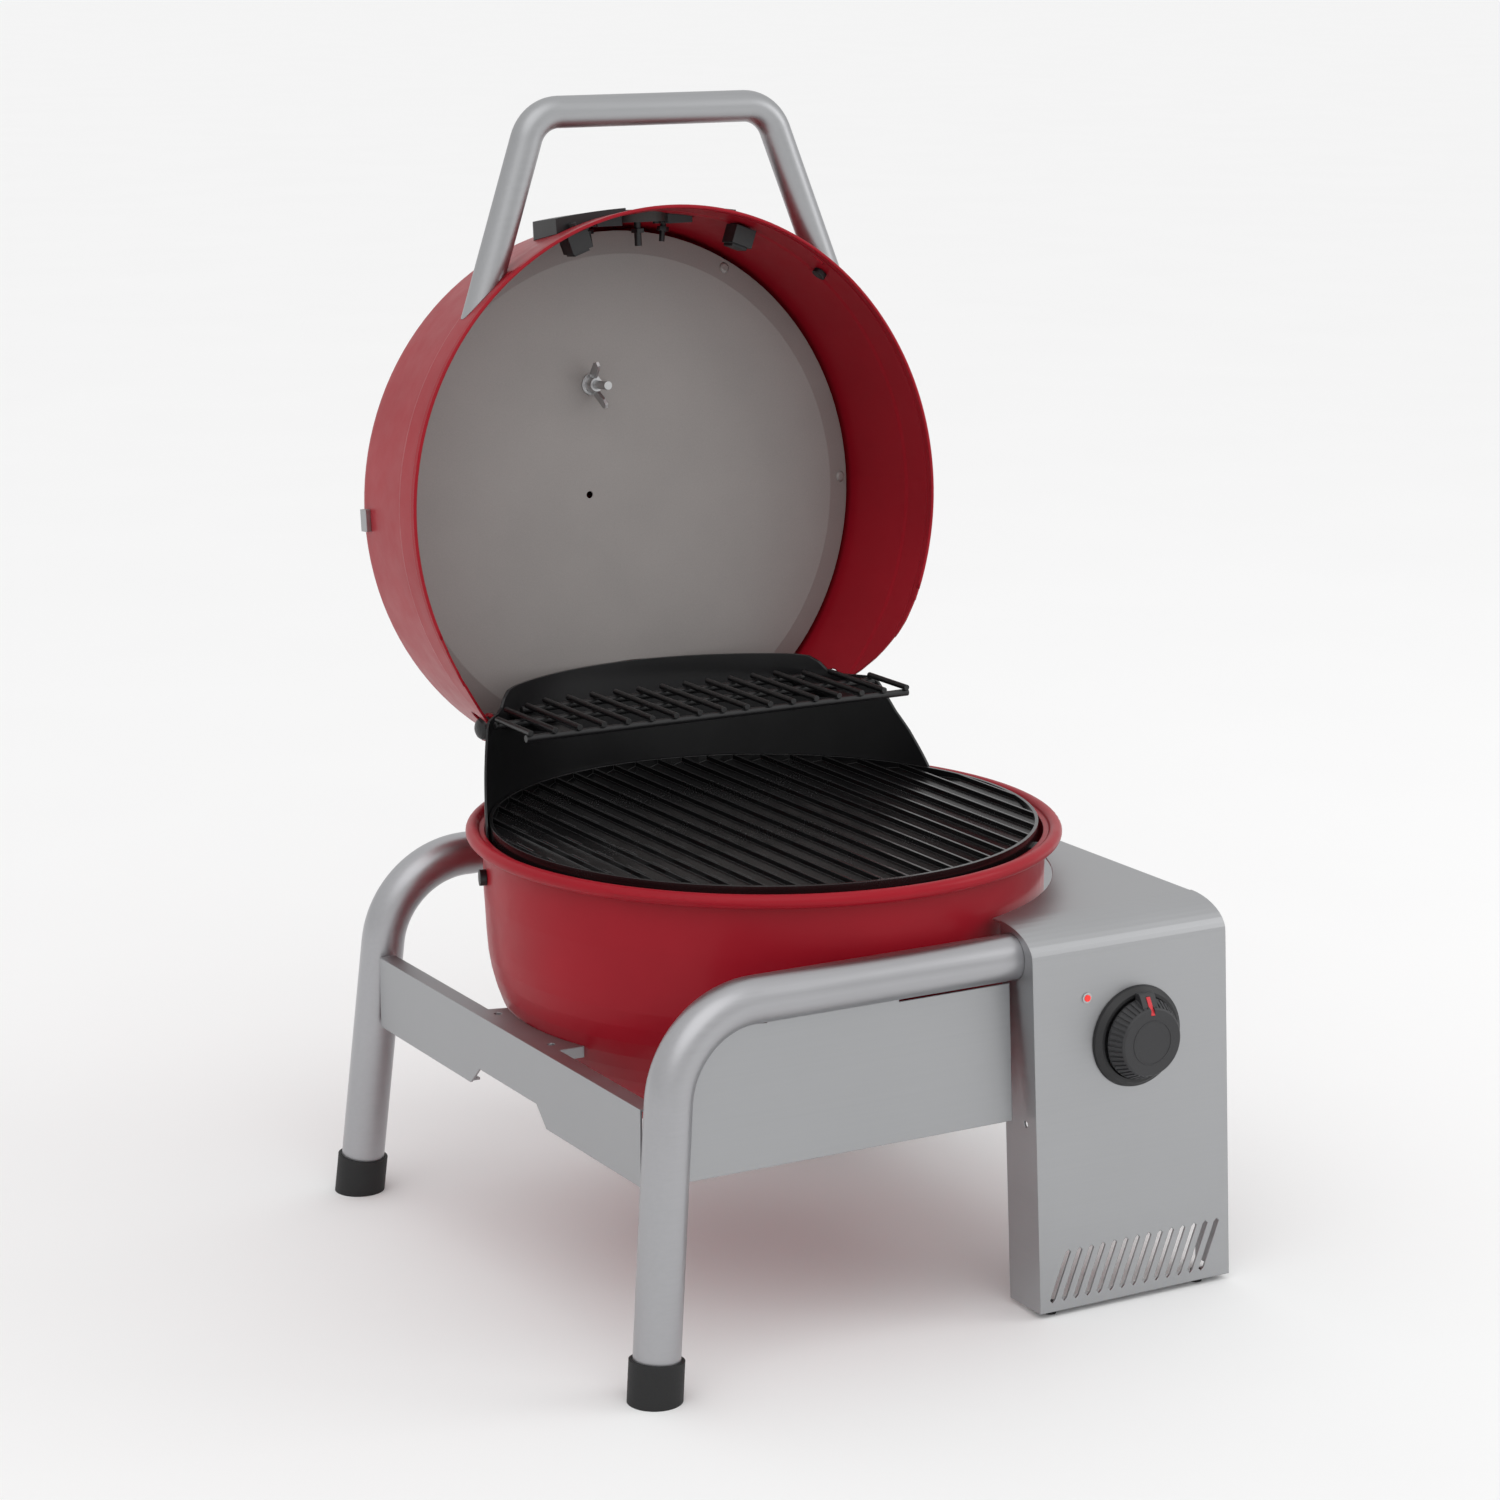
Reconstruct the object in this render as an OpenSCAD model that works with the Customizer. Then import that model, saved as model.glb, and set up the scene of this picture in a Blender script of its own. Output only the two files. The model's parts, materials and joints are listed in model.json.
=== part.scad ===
// Portable tabletop electric grill: bent-tube stand, control housing, bowl, hinged drum lid.
// Millimetres. +Z is up, the front (knob side) faces -Y. Modelled with the lid open.

/* [Bowl] */
// Outer diameter of the rolled bowl rim
rim_d = 400; // [396:1:404]
// Height of the rim roll's centre above the table
rim_z = 290; // [286:1:294]
// Sheet thickness of the bowl wall
bowl_t = 1.5; // [1.2:0.1:2]
// Depth of the bowl below the rim centre
bowl_depth = 192; // [185:1:198]
// Outer radius of the cooking grate ring
grate_r = 184; // [180:0.5:184.5]
// Ridges across the cooking grate
grate_bars = 21; // [15:2:25]

/* [Stand] */
// Outer diameter of the frame tube
tube_d = 30; // [28:0.5:31]
// Wall of the frame tube
tube_t = 1.5; // [1:0.1:2.5]
// Height of the horizontal run of each tube, measured along its own plane
tube_run_z = 241; // [238:0.5:243]
// Centreline radius of the frame bend
bend_r = 62; // [55:1:68]
// Outer diameter of the rubber foot caps
cap_d = 35; // [33:0.5:40]

/* [Control housing] */
// Height of the housing's top plate
box_z = 261.25; // [258:0.25:264]
// Half of the housing's front-to-back size
box_y = 229.6; // [228:0.2:232]
// Ventilation slots in the front leg
slot_n = 14; // [8:1:14]
// Diameter of the control knob
knob_d = 55; // [50:1:58]
// Diameter of the flared bezel behind the knob
bezel_d = 68; // [62:1:72]
// Height of the knob's axis
knob_z = 182; // [176:1:188]

/* [Lid] */
// Wall thickness of the lid
lid_t = 1.6; // [1.2:0.1:2.4]
// Depth of the lid from its opening to its flat top
lid_depth = 121; // [118:1:124]
// How far the lid stands open from its closed position
open_deg = 94.57; // [94:0.01:95]
// Outer diameter of the lid handle's tube
handle_d = 21.5; // [18:0.5:24]
// Reach of the handle bar's centreline from the lid's axis
handle_reach = 267.3; // [260:0.5:275]

/* [Warming rack] */
// Height of the rack's frame wire
rack_z = 355; // [353:0.5:357]
// Wire diameter of the rack
rack_wire = 5; // [4:0.5:6]
// Rods across the rack
rack_rods = 17; // [11:2:21]

/* [Hidden] */
$fn = 64;

// the whole object is centred on its own footprint
off_x = -1.88;
off_y = 2.13;

// bowl
rim_roll = 4.6;
rim_c = rim_d / 2 - rim_roll;
wall_top = rim_z - 1;
wall_r = 188.9;
bowl_c_r = 60;
bowl_c_z = rim_z - bowl_depth + 127;
bowl_arc = 127;

// stand: each frame lies in one plane that leans outwards
foot_x = -204.5;
foot_y = 221.3;
lean = 3.8;
splay = 5.25;
corner_x = foot_x + tan(splay) * tube_run_z;
bend_cut = bend_r * tan((90 - splay) / 2);
tube_end = 92;
cap_h = 26;

// control housing
hx0 = 63.6;
hx1 = 214.6;
h_lean = 2.5;
h_t = 1.5;
h_bottom = 4;
fold_y = 38;
fold_z = 19;
knob_x = 145;

// lid: the hinge axis runs along X
lid_z0 = 294.9;
hinge_y = 146.3;
hinge_z = 343.4;
lid_r0 = 202.4;
lid_r1 = 191;
lid_corner = 18;
ear_x = 132;
pin_d = 6;

// lid handle: legs lean in by hang, hw_x is where their centrelines meet the bar's
hang = 20;
hb = 26;
hcut = hb * tan(45 - hang / 2);
hw_x = 131 - tan(hang) * (handle_reach - 154);

// where the vent bezel is fixed, as angles round the lid
clip_a = [69.5, 108.5];
screw_a = [81, 99];
bezel_crown = 480;
liner_z = 88;

// heating element loop
loop_r = 124;
loop_bend = 14;
loop_y = 22;
loop_a = asin((loop_y + loop_bend) / (loop_r + loop_bend));

// rack and shield
shield_r = 187;
shield_t = 1.5;
shield_top = 370;

function arc(cx, cy, r, a0, a1, n) =
  [for (i = [0:n]) [cx + r * cos(a0 + (a1 - a0) * i / n), cy + r * sin(a0 + (a1 - a0) * i / n)]];
function lid_r(d) = lid_r0 + (lid_r1 - lid_r0) * d / 112;
// the bezel's lightly crowned face leans with the lid's wall
function bezel_w(d) = 201.5 - 3 * (d - 26) / 48.5;
// the clips' pins sit a little towards the middle
function pin_t(a) = a < 90 ? 4.5 : -4.5;
// how far the liner is cut back to swing past the top of the shield
function relief_w(x) =
  let (y = sqrt(pow(shield_r, 2) - x * x) - hinge_y, z = shield_top - hinge_z,
    d = liner_z - hinge_z + lid_z0)
  -hinge_y + sqrt(max(0, y * y + z * z - d * d)) + 1.5;
// where each rod of the rack ends
function rack_back(x) = abs(x) > 140 ? 104 : abs(x) > 120 ? 128 : abs(x) > 100 ? 133.5 : 143;
function shear_x(z) = (box_z - z) * tan(h_lean);

module ring(ro, ri, h, z) {
  translate([0, 0, z])
    difference() {
      cylinder(h = h, r = ro, $fn = 180);
      translate([0, 0, -1])
        cylinder(h = h + 2, r = ri, $fn = 180);
    }
}

// extrude a profile drawn in (y, z) along X
module along_x(x0, x1) {
  translate([x0, 0, 0])
    rotate([90, 0, 90])
      linear_extrude(x1 - x0)
        children();
}

// extrude a profile drawn in (x, z) along +Y
module along_y(y0, y1) {
  translate([0, y1, 0])
    rotate([90, 0, 0])
      linear_extrude(y1 - y0)
        children();
}

module rod_x(x0, x1, d, f = 32) {
  translate([x0, 0, 0])
    rotate([0, 90, 0])
      cylinder(h = x1 - x0, d = d, $fn = f);
}

module rod_y(y0, y1, d, f = 24) {
  translate([0, y0, 0])
    rotate([-90, 0, 0])
      cylinder(h = y1 - y0, d = d, $fn = f);
}

// lid coordinates: X across, Y to the lid's front, Z from the opening to the top
module lid_place() {
  translate([0, hinge_y, hinge_z])
    rotate([-open_deg, 0, 0])
      translate([0, -hinge_y, lid_z0 - hinge_z])
        mirror([0, 1, 0])
          children();
}

// ---------- stand ----------

// frame coordinates: X across, Y out of the frame's own plane, Z up along it
module frame_place(s) {
  translate([0, s * foot_y, 0])
    rotate([s * lean, 0, 0])
      children();
}

module bent_tube(ro, ri, s0) {
  // leg
  translate([foot_x, 0, 0])
    rotate([0, splay, 0])
      translate([0, 0, s0])
        difference() {
          cylinder(h = tube_run_z / cos(splay) - bend_cut - s0 + 0.6, r = ro + 0.02, $fn = 48);
          translate([0, 0, -1])
            cylinder(h = tube_run_z, r = ri - 0.02, $fn = 48);
        }
  // bend
  translate([corner_x + bend_cut, 0, tube_run_z - bend_r])
    rotate([90, 0, 0])
      rotate([0, 0, 90])
        rotate_extrude(angle = 90 - splay, $fn = 96)
          translate([bend_r, 0])
            difference() {
              circle(r = ro, $fn = 48);
              circle(r = ri, $fn = 48);
            }
  // horizontal run
  translate([corner_x + bend_cut - 0.6, 0, tube_run_z])
    rotate([0, 90, 0])
      difference() {
        cylinder(h = tube_end - corner_x - bend_cut + 0.6, r = ro + 0.02, $fn = 48);
        translate([0, 0, -1])
          cylinder(h = 400, r = ri - 0.02, $fn = 48);
      }
}

module front_frame_tube() color("#a9abae")
  frame_place(-1)
    bent_tube(tube_d / 2, tube_d / 2 - tube_t, 5);

module rear_frame_tube() color("#a9abae")
  frame_place(1)
    bent_tube(tube_d / 2, tube_d / 2 - tube_t, 5);

module foot_cap(s) {
  difference() {
    frame_place(s)
      translate([foot_x, 0, 0])
        rotate([0, splay, 0])
          difference() {
            translate([0, 0, -6])
              cylinder(h = cap_h + 6, d = cap_d, $fn = 64);
            translate([0, 0, 5])
              cylinder(h = 40, d = tube_d + 0.12, $fn = 48);
          }
    translate([foot_x - 40, s * foot_y - 40, -40])
      cube([80, 80, 40]);
  }
}

module foot_caps() color("#1b1b1c") {
  foot_cap(-1);
  foot_cap(1);
}

module front_panel() color("#b2b4b7")
  frame_place(-1)
    difference() {
      along_y(-1.5, 0)
        polygon([[-178.6, 134], [60.8, 134], [60.8, tube_run_z], [-110, tube_run_z],
          [-150, 228], [-168, 212], [-176.4, 185]]);
      along_y(-10, 10)
        polygon([[-22, 226.6], [61, 226.6], [61, 224.4], [-22, 224.4]]);
      translate([corner_x + bend_cut - 80, 0, tube_run_z])
        rod_x(0, 300, tube_d + 0.1, 48);
      translate([corner_x + bend_cut, 0, tube_run_z - bend_r])
        rotate([90, 0, 0])
          rotate([0, 0, 80])
            rotate_extrude(angle = 100, $fn = 96)
              translate([bend_r, 0])
                circle(d = tube_d + 0.1, $fn = 48);
      translate([foot_x, 0, 0])
        rotate([0, splay, 0])
          cylinder(h = 200, d = tube_d + 0.1, $fn = 48);
    }

// sheet channel with a widened tab and a tongue that carry the bowl
module rail(half, top) {
  difference() {
    union() {
      // web
      along_x(0, 1.5)
        polygon([[-half, top - 50], [-64, top - 50], [-50, top - 37], [34, top - 37],
          [48, top - 50], [half, top - 50], [half, top], [-half, top]]);
      // top flange
      translate([0, -half, top - 1.5])
        cube([12, 2 * half, 1.5]);
      // tab with a turned-down front edge, trimmed to the bowl's curve
      difference() {
        union() {
          translate([0, 0, top - 1.5])
            linear_extrude(1.5)
              polygon([[1, -60], [34, -60], [34, 38], [12, 44], [1, 44]]);
          translate([8, -60, top - 7.5])
            cube([26, 1.5, 7.5]);
        }
        translate([198, 0, top - 10])
          cylinder(h = 20, r = 178.4, $fn = 180);
      }
      // bottom hem
      translate([0, -half, top - 50])
        cube([8, half - 66, 1.5]);
      translate([0, 50, top - 50])
        cube([8, half - 50, 1.5]);
      // tongue
      translate([18, -40, top - 22])
        cube([1.5, 60, 22]);
    }
    for (y = [-46, 31.6])
      translate([13, y, top - 5])
        cylinder(h = 10, d = 5, $fn = 24);
    for (y = [-30, 10])
      translate([0, y, top - 9.5])
        rod_x(10, 30, 6.2);
  }
}

module left_rail() color("#a9abae")
  translate([-198, 0, 0])
    rail(192, 177.5);

module right_rail() color("#a9abae")
  mirror([1, 0, 0])
    translate([-198, 0, 0])
      rail(box_y - h_t - 0.05, 177.5);

// ---------- control housing ----------

module housing_leg_plate(holes) {
  difference() {
    along_y(-box_y, -box_y + h_t)
      polygon([[hx0, box_z - fold_z], [hx0 + shear_x(h_bottom), h_bottom],
        [hx1 + shear_x(h_bottom), h_bottom], [hx1, box_z - fold_z]]);
    if (holes) {
      for (i = [0:slot_n - 1])
        translate([84 + i * 9.13, 0, 12])
          along_y(-box_y - 3, -box_y + 6)
            polygon([[-2.1, 0], [0, -2], [2.1, 0], [13.6, 31], [11.5, 33], [9.4, 31]]);
      translate([knob_x, -box_y, knob_z])
        rod_y(-5, 5, 9);
      translate([105.8, -box_y, 213.1])
        rod_y(-5, 5, 6.2);
    } else {
      translate([130, -box_y - 5, 58])
        cube([27, 20, 20]);
      for (x = [123.5, 163.5])
        translate([x, -box_y, 68])
          rod_y(-5, 5, 3.6);
    }
  }
  // side returns
  for (x = [hx0, hx1 - h_t])
    difference() {
      along_y(-box_y, -box_y + 35.4)
        polygon([[x, box_z - fold_z], [x + shear_x(h_bottom), h_bottom],
          [x + h_t + shear_x(h_bottom), h_bottom], [x + h_t, box_z - fold_z]]);
      translate([x - 20, -box_y + 12, 131])
        rod_x(0, 60, 4.4, 24);
      // arched cut-out for the frame tube
      if (x == hx0)
        frame_place(-1)
          translate([x - 20, 0, tube_run_z])
            rod_x(0, 60, tube_d + 0.6, 48);
    }
  // bottom hem that holds the small feet
  difference() {
    translate([hx0 + shear_x(h_bottom), -box_y, h_bottom])
      cube([hx1 - hx0, 16, h_t]);
    for (x = [88, 205])
      translate([x, -box_y + 9, 0])
        cylinder(h = 10, r = 2.4, $fn = 32);
  }
}

module housing_shell() color("#b4b6b9") {
  difference() {
    union() {
      housing_leg_plate(true);
      mirror([0, 1, 0])
        housing_leg_plate(false);
      // folded top
      difference() {
        along_x(hx0, hx1)
          polygon(concat(
            [for (i = [0:10]) [-box_y + fold_y * (1 - cos(9 * i)), box_z - fold_z * (1 - sin(9 * i))]],
            [[-box_y + fold_y, box_z - 0.6], [box_y - fold_y, box_z - 0.6]],
            [for (i = [10:-1:0]) [box_y - fold_y * (1 - cos(9 * i)), box_z - fold_z * (1 - sin(9 * i))]],
            [for (i = [0:10]) [box_y - h_t - (fold_y - h_t) * (1 - cos(9 * i)),
              box_z - fold_z + (fold_z - h_t) * sin(9 * i)]],
            [for (i = [10:-1:0]) [-box_y + h_t + (fold_y - h_t) * (1 - cos(9 * i)),
              box_z - fold_z + (fold_z - h_t) * sin(9 * i)]]));
        translate([0, 0, box_z - 20])
          cylinder(h = 40, r = 194, $fn = 180);
      }
      // corner fillers that close the folded ends
      for (s = [-1, 1])
        for (x = [hx0, hx1 - h_t])
          along_x(x, x + h_t)
            polygon([for (p = concat(
              [for (i = [0:10]) [-box_y + fold_y * (1 - cos(9 * i)),
                box_z - fold_z * (1 - sin(9 * i))]],
              [[-box_y + 35.4, box_z - fold_z]])) [s * -p[0], p[1]]]);
    }
    for (s = [-1, 1])
      frame_place(s)
        translate([0, 0, tube_run_z])
          rod_x(hx0 - 10, hx0 + 30, tube_d + 0.6, 48);
  }
}

module housing_feet() color("#1b1b1c")
  for (x = [88, 205], y = [-box_y + 9, box_y - 9])
    translate([x, y, 0]) {
      cylinder(h = h_bottom, r = 4.2, $fn = 32);
      cylinder(h = h_bottom + h_t + 1, r = 2.4, $fn = 32);
      translate([0, 0, h_bottom + h_t])
        cylinder(h = 2.5, r = 3.6, $fn = 32);
    }

module indicator_lamp() color("#e02a20")
  translate([105.8, -box_y, 213.1])
    rod_y(-1.5, 12, 4.2, 32);

module lamp_ring() color("#b9bbbe")
  translate([105.8, -box_y, 213.1])
    difference() {
      union() {
        rod_y(-0.9, 0, 7, 32);
        rod_y(0, 9, 6.1, 32);
      }
      rod_y(-3, 12, 4.3, 32);
    }

module power_inlet() color("#202022")
  difference() {
    union() {
      translate([116.5, box_y, 55])
        cube([54, 3, 26]);
      translate([130.2, box_y - 22, 58.2])
        cube([26.6, 22, 19.6]);
    }
    translate([132.5, box_y - 14, 60.5])
      cube([22, 30, 15]);
    for (x = [123.5, 163.5])
      translate([x, box_y, 68])
        rod_y(-1, 6, 3.4);
  }

module inlet_screws() color("#8d8f92")
  for (x = [123.5, 163.5])
    translate([x, box_y + 3, 68]) {
      rod_y(0, 1.8, 6.5, 32);
      rod_y(-12, 0, 3.2, 24);
    }

module knob_bezel() color("#232425")
  translate([knob_x, -box_y, knob_z])
    rotate([90, 0, 0])
      rotate_extrude($fn = 96)
        polygon([[7, 0], [bezel_d / 2, 0], [bezel_d / 2 - 0.6, 2.2], [bezel_d / 2 - 4, 5],
          [bezel_d / 2 - 6.2, 5], [bezel_d / 2 - 8, 2.4], [7, 2.4]]);

module control_knob() color("#2c2d2f")
  translate([knob_x, -box_y - 3, knob_z])
    rotate([90, 0, 0])
      difference() {
        union() {
          difference() {
            rotate_extrude($fn = 96)
              polygon([[0, 0], [bezel_d / 2 - 9.6, 0], [bezel_d / 2 - 9.6, 2.8], [knob_d / 2 - 0.3, 4.2],
                [knob_d / 2 - 0.6, 5.6], [knob_d / 2 - 4.9, 14.4], [knob_d / 2 - 5.9, 15.4], [0, 15.4]]);
            // grip flutes down the tapered side
            for (i = [0:43])
              rotate([0, 0, i * 360 / 44])
                translate([knob_d / 2 - 0.9, 0, 4.4])
                  rotate([0, -26, 0])
                    translate([0, -0.7, 0])
                      cube([3, 1.4, 10]);
          }
          // raised boss that carries the pointer
          along_x(-5.75, 5.75)
            polygon([[8, 3.2], [31, 3.2], [31, 7.2], [29.5, 8.6], [18, 15.4], [8, 15.4]]);
        }
        along_x(-1.5, 1.5)
          polygon([[18.2, 14], [29, 7.6], [29, 12], [18.2, 20]]);
        translate([0, 0, -1])
          cylinder(h = 11, d = 6, $fn = 32);
      }

module knob_pointer() color("#d8281f")
  translate([knob_x, -box_y - 3, knob_z])
    rotate([90, 0, 0])
      along_x(-1.5, 1.5)
        polygon([[18.2, 14], [29, 7.6], [29, 9.3], [18.2, 15.7]]);

module knob_shaft() color("#8d8f92")
  translate([knob_x, -box_y, knob_z])
    rod_y(-13, 8, 6, 32);

module thermostat_body() color("#c9c4b4")
  translate([knob_x, -box_y + h_t, knob_z])
    difference() {
      union() {
        translate([-21, 6.7, -21])
          cube([42, 26, 42]);
        rod_y(0, 7, 16, 32);
        translate([-30, 0, -8])
          cube([60, 1.6, 16]);
      }
      rod_y(-2, 7, 6.12, 32);
    }

// ---------- bowl ----------

module bowl() color("#9a1622")
  difference() {
    union() {
      rotate_extrude($fn = 180)
        polygon(concat(
          [[0, bowl_c_z - bowl_arc], [bowl_c_r, bowl_c_z - bowl_arc]],
          arc(bowl_c_r, bowl_c_z, bowl_arc, -84, -2, 16),
          [[wall_r - 0.4, rim_z - 40], [wall_r, wall_top], [wall_r - bowl_t, wall_top],
            [wall_r - bowl_t - 0.4, rim_z - 40]],
          arc(bowl_c_r, bowl_c_z, bowl_arc - bowl_t, -2, -84, 16),
          [[bowl_c_r, bowl_c_z - bowl_arc + bowl_t], [0, bowl_c_z - bowl_arc + bowl_t]]));
      // rolled rim
      rotate_extrude($fn = 180)
        translate([rim_c, rim_z])
          difference() {
            circle(r = rim_roll, $fn = 40);
            circle(r = rim_roll - 1.2, $fn = 40);
          }
      // ledge between the wall and the roll
      ring(rim_c - rim_roll + 1, wall_r - bowl_t, 2.2, rim_z - 1.2);
    }
    for (a = [162.7, 17.3, 90])
      rotate([0, 0, a])
        translate([0, 0, 264.6])
          rod_x(170, 210, 5.2);
    for (y = [-30, 10])
      translate([0, y, 168])
        difference() {
          rod_x(-200, 200, 6.2);
          rod_x(-160, 160, 7);
        }
    translate([0, 0, 236])
      for (y = [-loop_y, loop_y])
        translate([0, y, 0])
          rod_x(175, 200, 9);
  }

module bowl_mount_bolts() color("#6f7174")
  for (y = [-30, 10], s = [-1, 1])
    mirror([s > 0 ? 1 : 0, 0, 0])
      translate([0, y, 168]) {
        rod_x(-184.2, -180, 10, 6);
        rod_x(-180, -158, 6, 32);
        rod_x(-178.45, -176.2, 11, 32);
        rod_x(-164.2, -160, 10, 6);
      }

module shield_bolts() color("#161617")
  for (a = [162.7, 17.3, 90])
    rotate([0, 0, a])
      translate([0, 0, 264.6]) {
        rod_x(wall_r - 0.1, wall_r + 4.4, 11, 32);
        rod_x(180, wall_r, 5, 32);
        rod_x(180.4, shield_r - shield_t - 0.1, 9, 6);
      }

module grate_rests() color("#3a3b3d")
  for (a = [45, 135, 225, 315])
    rotate([0, 0, a])
      translate([0, -8, 0])
        difference() {
          union() {
            translate([174, 0, 287.4])
              cube([13, 16, 1.4]);
            translate([185.4, 0, 268])
              cube([1.4, 16, 20.8]);
          }
          if (a < 180)
            ring(240, shield_r - shield_t - 0.3, 60, 240);
          else
            ring(240, wall_r - bowl_t - 0.5, 60, 240);
        }

module reflector_pan() color("#7d7f82")
  difference() {
    rotate_extrude($fn = 120)
      polygon([[26, 214], [140, 214], [168, 226], [172.5, 226], [172.5, 227.2], [167.6, 227.2],
        [139.6, 215.2], [26, 215.2]]);
    for (y = [-loop_y, loop_y])
      translate([0, y, 236])
        rod_x(140, 190, 12);
  }

// sheathed rod bent into one loop, with both ends through the bowl wall
module heating_element() color("#4a4a4c")
  translate([0, 0, 236]) {
    rotate([0, 0, loop_a])
      rotate_extrude(angle = 360 - 2 * loop_a, $fn = 120)
        translate([loop_r, 0])
          circle(d = 8, $fn = 24);
    for (s = [0, 1])
      mirror([0, s, 0]) {
        rotate([0, 0, loop_a])
          translate([loop_r + loop_bend, 0, 0])
            rotate([0, 0, 178])
              rotate_extrude(angle = 94 - loop_a, $fn = 96)
                translate([loop_bend, 0])
                  circle(d = 8.06, $fn = 24);
        translate([0, -loop_y, 0])
          rod_x((loop_r + loop_bend) * cos(loop_a), 200, 8, 24);
      }
    for (a = [60, 180, 300])
      rotate([0, 0, a])
        translate([116, -5, -20.8])
          cube([16, 10, 19]);
  }

module element_flange() color("#909296")
  difference() {
    translate([189.2, -34, 222])
      cube([2, 68, 28]);
    for (y = [-loop_y, loop_y])
      translate([0, y, 236])
        rod_x(180, 200, 8.2);
  }

module terminal_cover() color("#b4b6b9")
  difference() {
    translate([191.3, -38, 216])
      cube([19, 76, 38]);
    translate([190, -36, 218])
      cube([18.5, 72, 34]);
  }

module terminal_block() color("#d9d4c6")
  difference() {
    translate([200.2, -14, 228])
      cube([8, 28, 16]);
    for (y = [-7, 7])
      translate([0, y, 236])
        rod_x(199, 205, 4.2, 24);
  }

// ---------- cooking grate ----------

module cooking_grate() color("#1d1d1f") {
  p = 358 / (grate_bars - 1);
  ring(grate_r, grate_r - 2.2, 8, 289);
  difference() {
    // folded sheet: thin upright ridges with troughs between them
    intersection() {
      translate([0, 0, 288])
        cylinder(h = 10, r = grate_r - 1, $fn = 180);
      along_y(-190, 190)
        polygon(concat(
          [[-179 - p / 2, 290.7]],
          [for (i = [0:grate_bars - 1], v = [[-0.8, 293.6], [-0.8, 297], [0.8, 297], [0.8, 293.6],
            [p / 2, 290.7]]) [-179 + i * p + v[0], v[1]]],
          [for (i = [grate_bars * 2 - 1:-1:-1]) [-179 + i * p / 2, i % 2 == 0 ? 292.1 : 289.2]]));
    }
    // drain slots along the troughs
    intersection() {
      translate([0, 0, 280])
        cylinder(h = 11.4, r = grate_r - 9, $fn = 120);
      for (j = [-3.5:3.5])
        translate([-190, j * 44 - 12, 280])
          cube([380, 24, 11.4]);
    }
  }
}

// ---------- shield, hinge and rack ----------

module shield_outline() {
  polygon([[62, 257], [62, 287], [68, 298.6], [72.2, 305.3], [82.4, 320.6], [92.6, 333.8],
    [98.8, 344], [104, 353], [109, 357], [129, 357], [134, 359.5], [138, 365], [143, 369],
    [150, shield_top], [200, shield_top], [200, 257]]);
}

module rear_shield() color("#222224")
  difference() {
    intersection() {
      ring(shield_r, shield_r - shield_t, 130, 250);
      along_x(-200, 200)
        shield_outline();
    }
    for (a = [162.7, 17.3, 90])
      rotate([0, 0, a])
        translate([0, 0, 264.6])
          rod_x(170, 210, 5.2);
  }

module hinge_brackets() color("#222224")
  for (s = [-1, 1])
    difference() {
      along_x(s > 0 ? 128.5 : -130.5, s > 0 ? 130.5 : -128.5)
        polygon([[130, 298], [148, 298], [156.2, 322], [156.2, hinge_z], [153, hinge_z + 7],
          [147, hinge_z + 9.5], [130, hinge_z + 9.5]]);
      translate([0, 0, 290])
        cylinder(h = 80, r = shield_r + 0.02, $fn = 180);
      translate([s * 129.5, hinge_y, hinge_z])
        rod_x(-5, 5, pin_d + 0.02);
    }

module hinge_bolts() color("#141415")
  for (s = [-1, 1])
    mirror([s > 0 ? 0 : 1, 0, 0])
      translate([0, hinge_y, hinge_z]) {
        rod_x(122.4, 134, pin_d, 40);
        rotate([0, 90, 0])
          rotate_extrude($fn = 64)
            polygon([[0, 133.5], [8, 133.5], [8, 137], [7.5, 139], [6.2, 140.8], [4.2, 142],
              [2, 142.6], [0, 142.7]]);
      }

module hinge_nuts() color("#77797c")
  for (s = [-1, 1])
    mirror([s > 0 ? 0 : 1, 0, 0])
      translate([0, hinge_y, hinge_z])
        difference() {
          rod_x(123.6, 128.5, 10.4, 6);
          rod_x(120, 130, pin_d, 40);
        }

module rack_brackets() color("#1d1d1f")
  for (s = [-1, 1])
    mirror([s > 0 ? 0 : 1, 0, 0])
      difference() {
        union() {
          translate([104, 66, 350.4])
            cube([14, 90, 2]);
          along_x(110, 112)
            polygon([[150, 339], [82, 350.4], [82, 351], [156, 351], [156, 339]]);
        }
        ring(300, shield_r - shield_t - 0.02, 120, 260);
      }

module warming_rack() color("#2a2b2d")
  translate([0, 0, rack_z]) {
    // rails under the rods
    for (y = [57, 103])
      translate([0, y, 0])
        rod_x(-149, 149, rack_wire, 20);
    translate([0, 138, 0])
      rod_x(-112, 112, rack_wire, 20);
    // rods
    for (i = [0:rack_rods - 1]) {
      x = (i - (rack_rods - 1) / 2) * 293.4 / (rack_rods - 1);
      translate([x, 0, rack_wire - 1])
        rod_y(54, rack_back(x), rack_wire - 1, 20);
    }
  }

// ---------- lid (in lid coordinates) ----------

module lid_solid(g) {
  // outer volume, shrunk by g
  rotate_extrude($fn = 180)
    polygon(concat(
      [[0, -g * 3], [lid_r0 - g, -g * 3], [lid_r0 - g, 6], [lid_r(6) - g, 6.01], [lid_r(28) - g + 0.6, 28],
        [lid_r(31) - g, 31]],
      arc(lid_r1 - lid_corner, lid_depth - lid_corner, lid_corner - g, 4, 90, 12),
      [[0, lid_depth - g]]));
}

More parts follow.
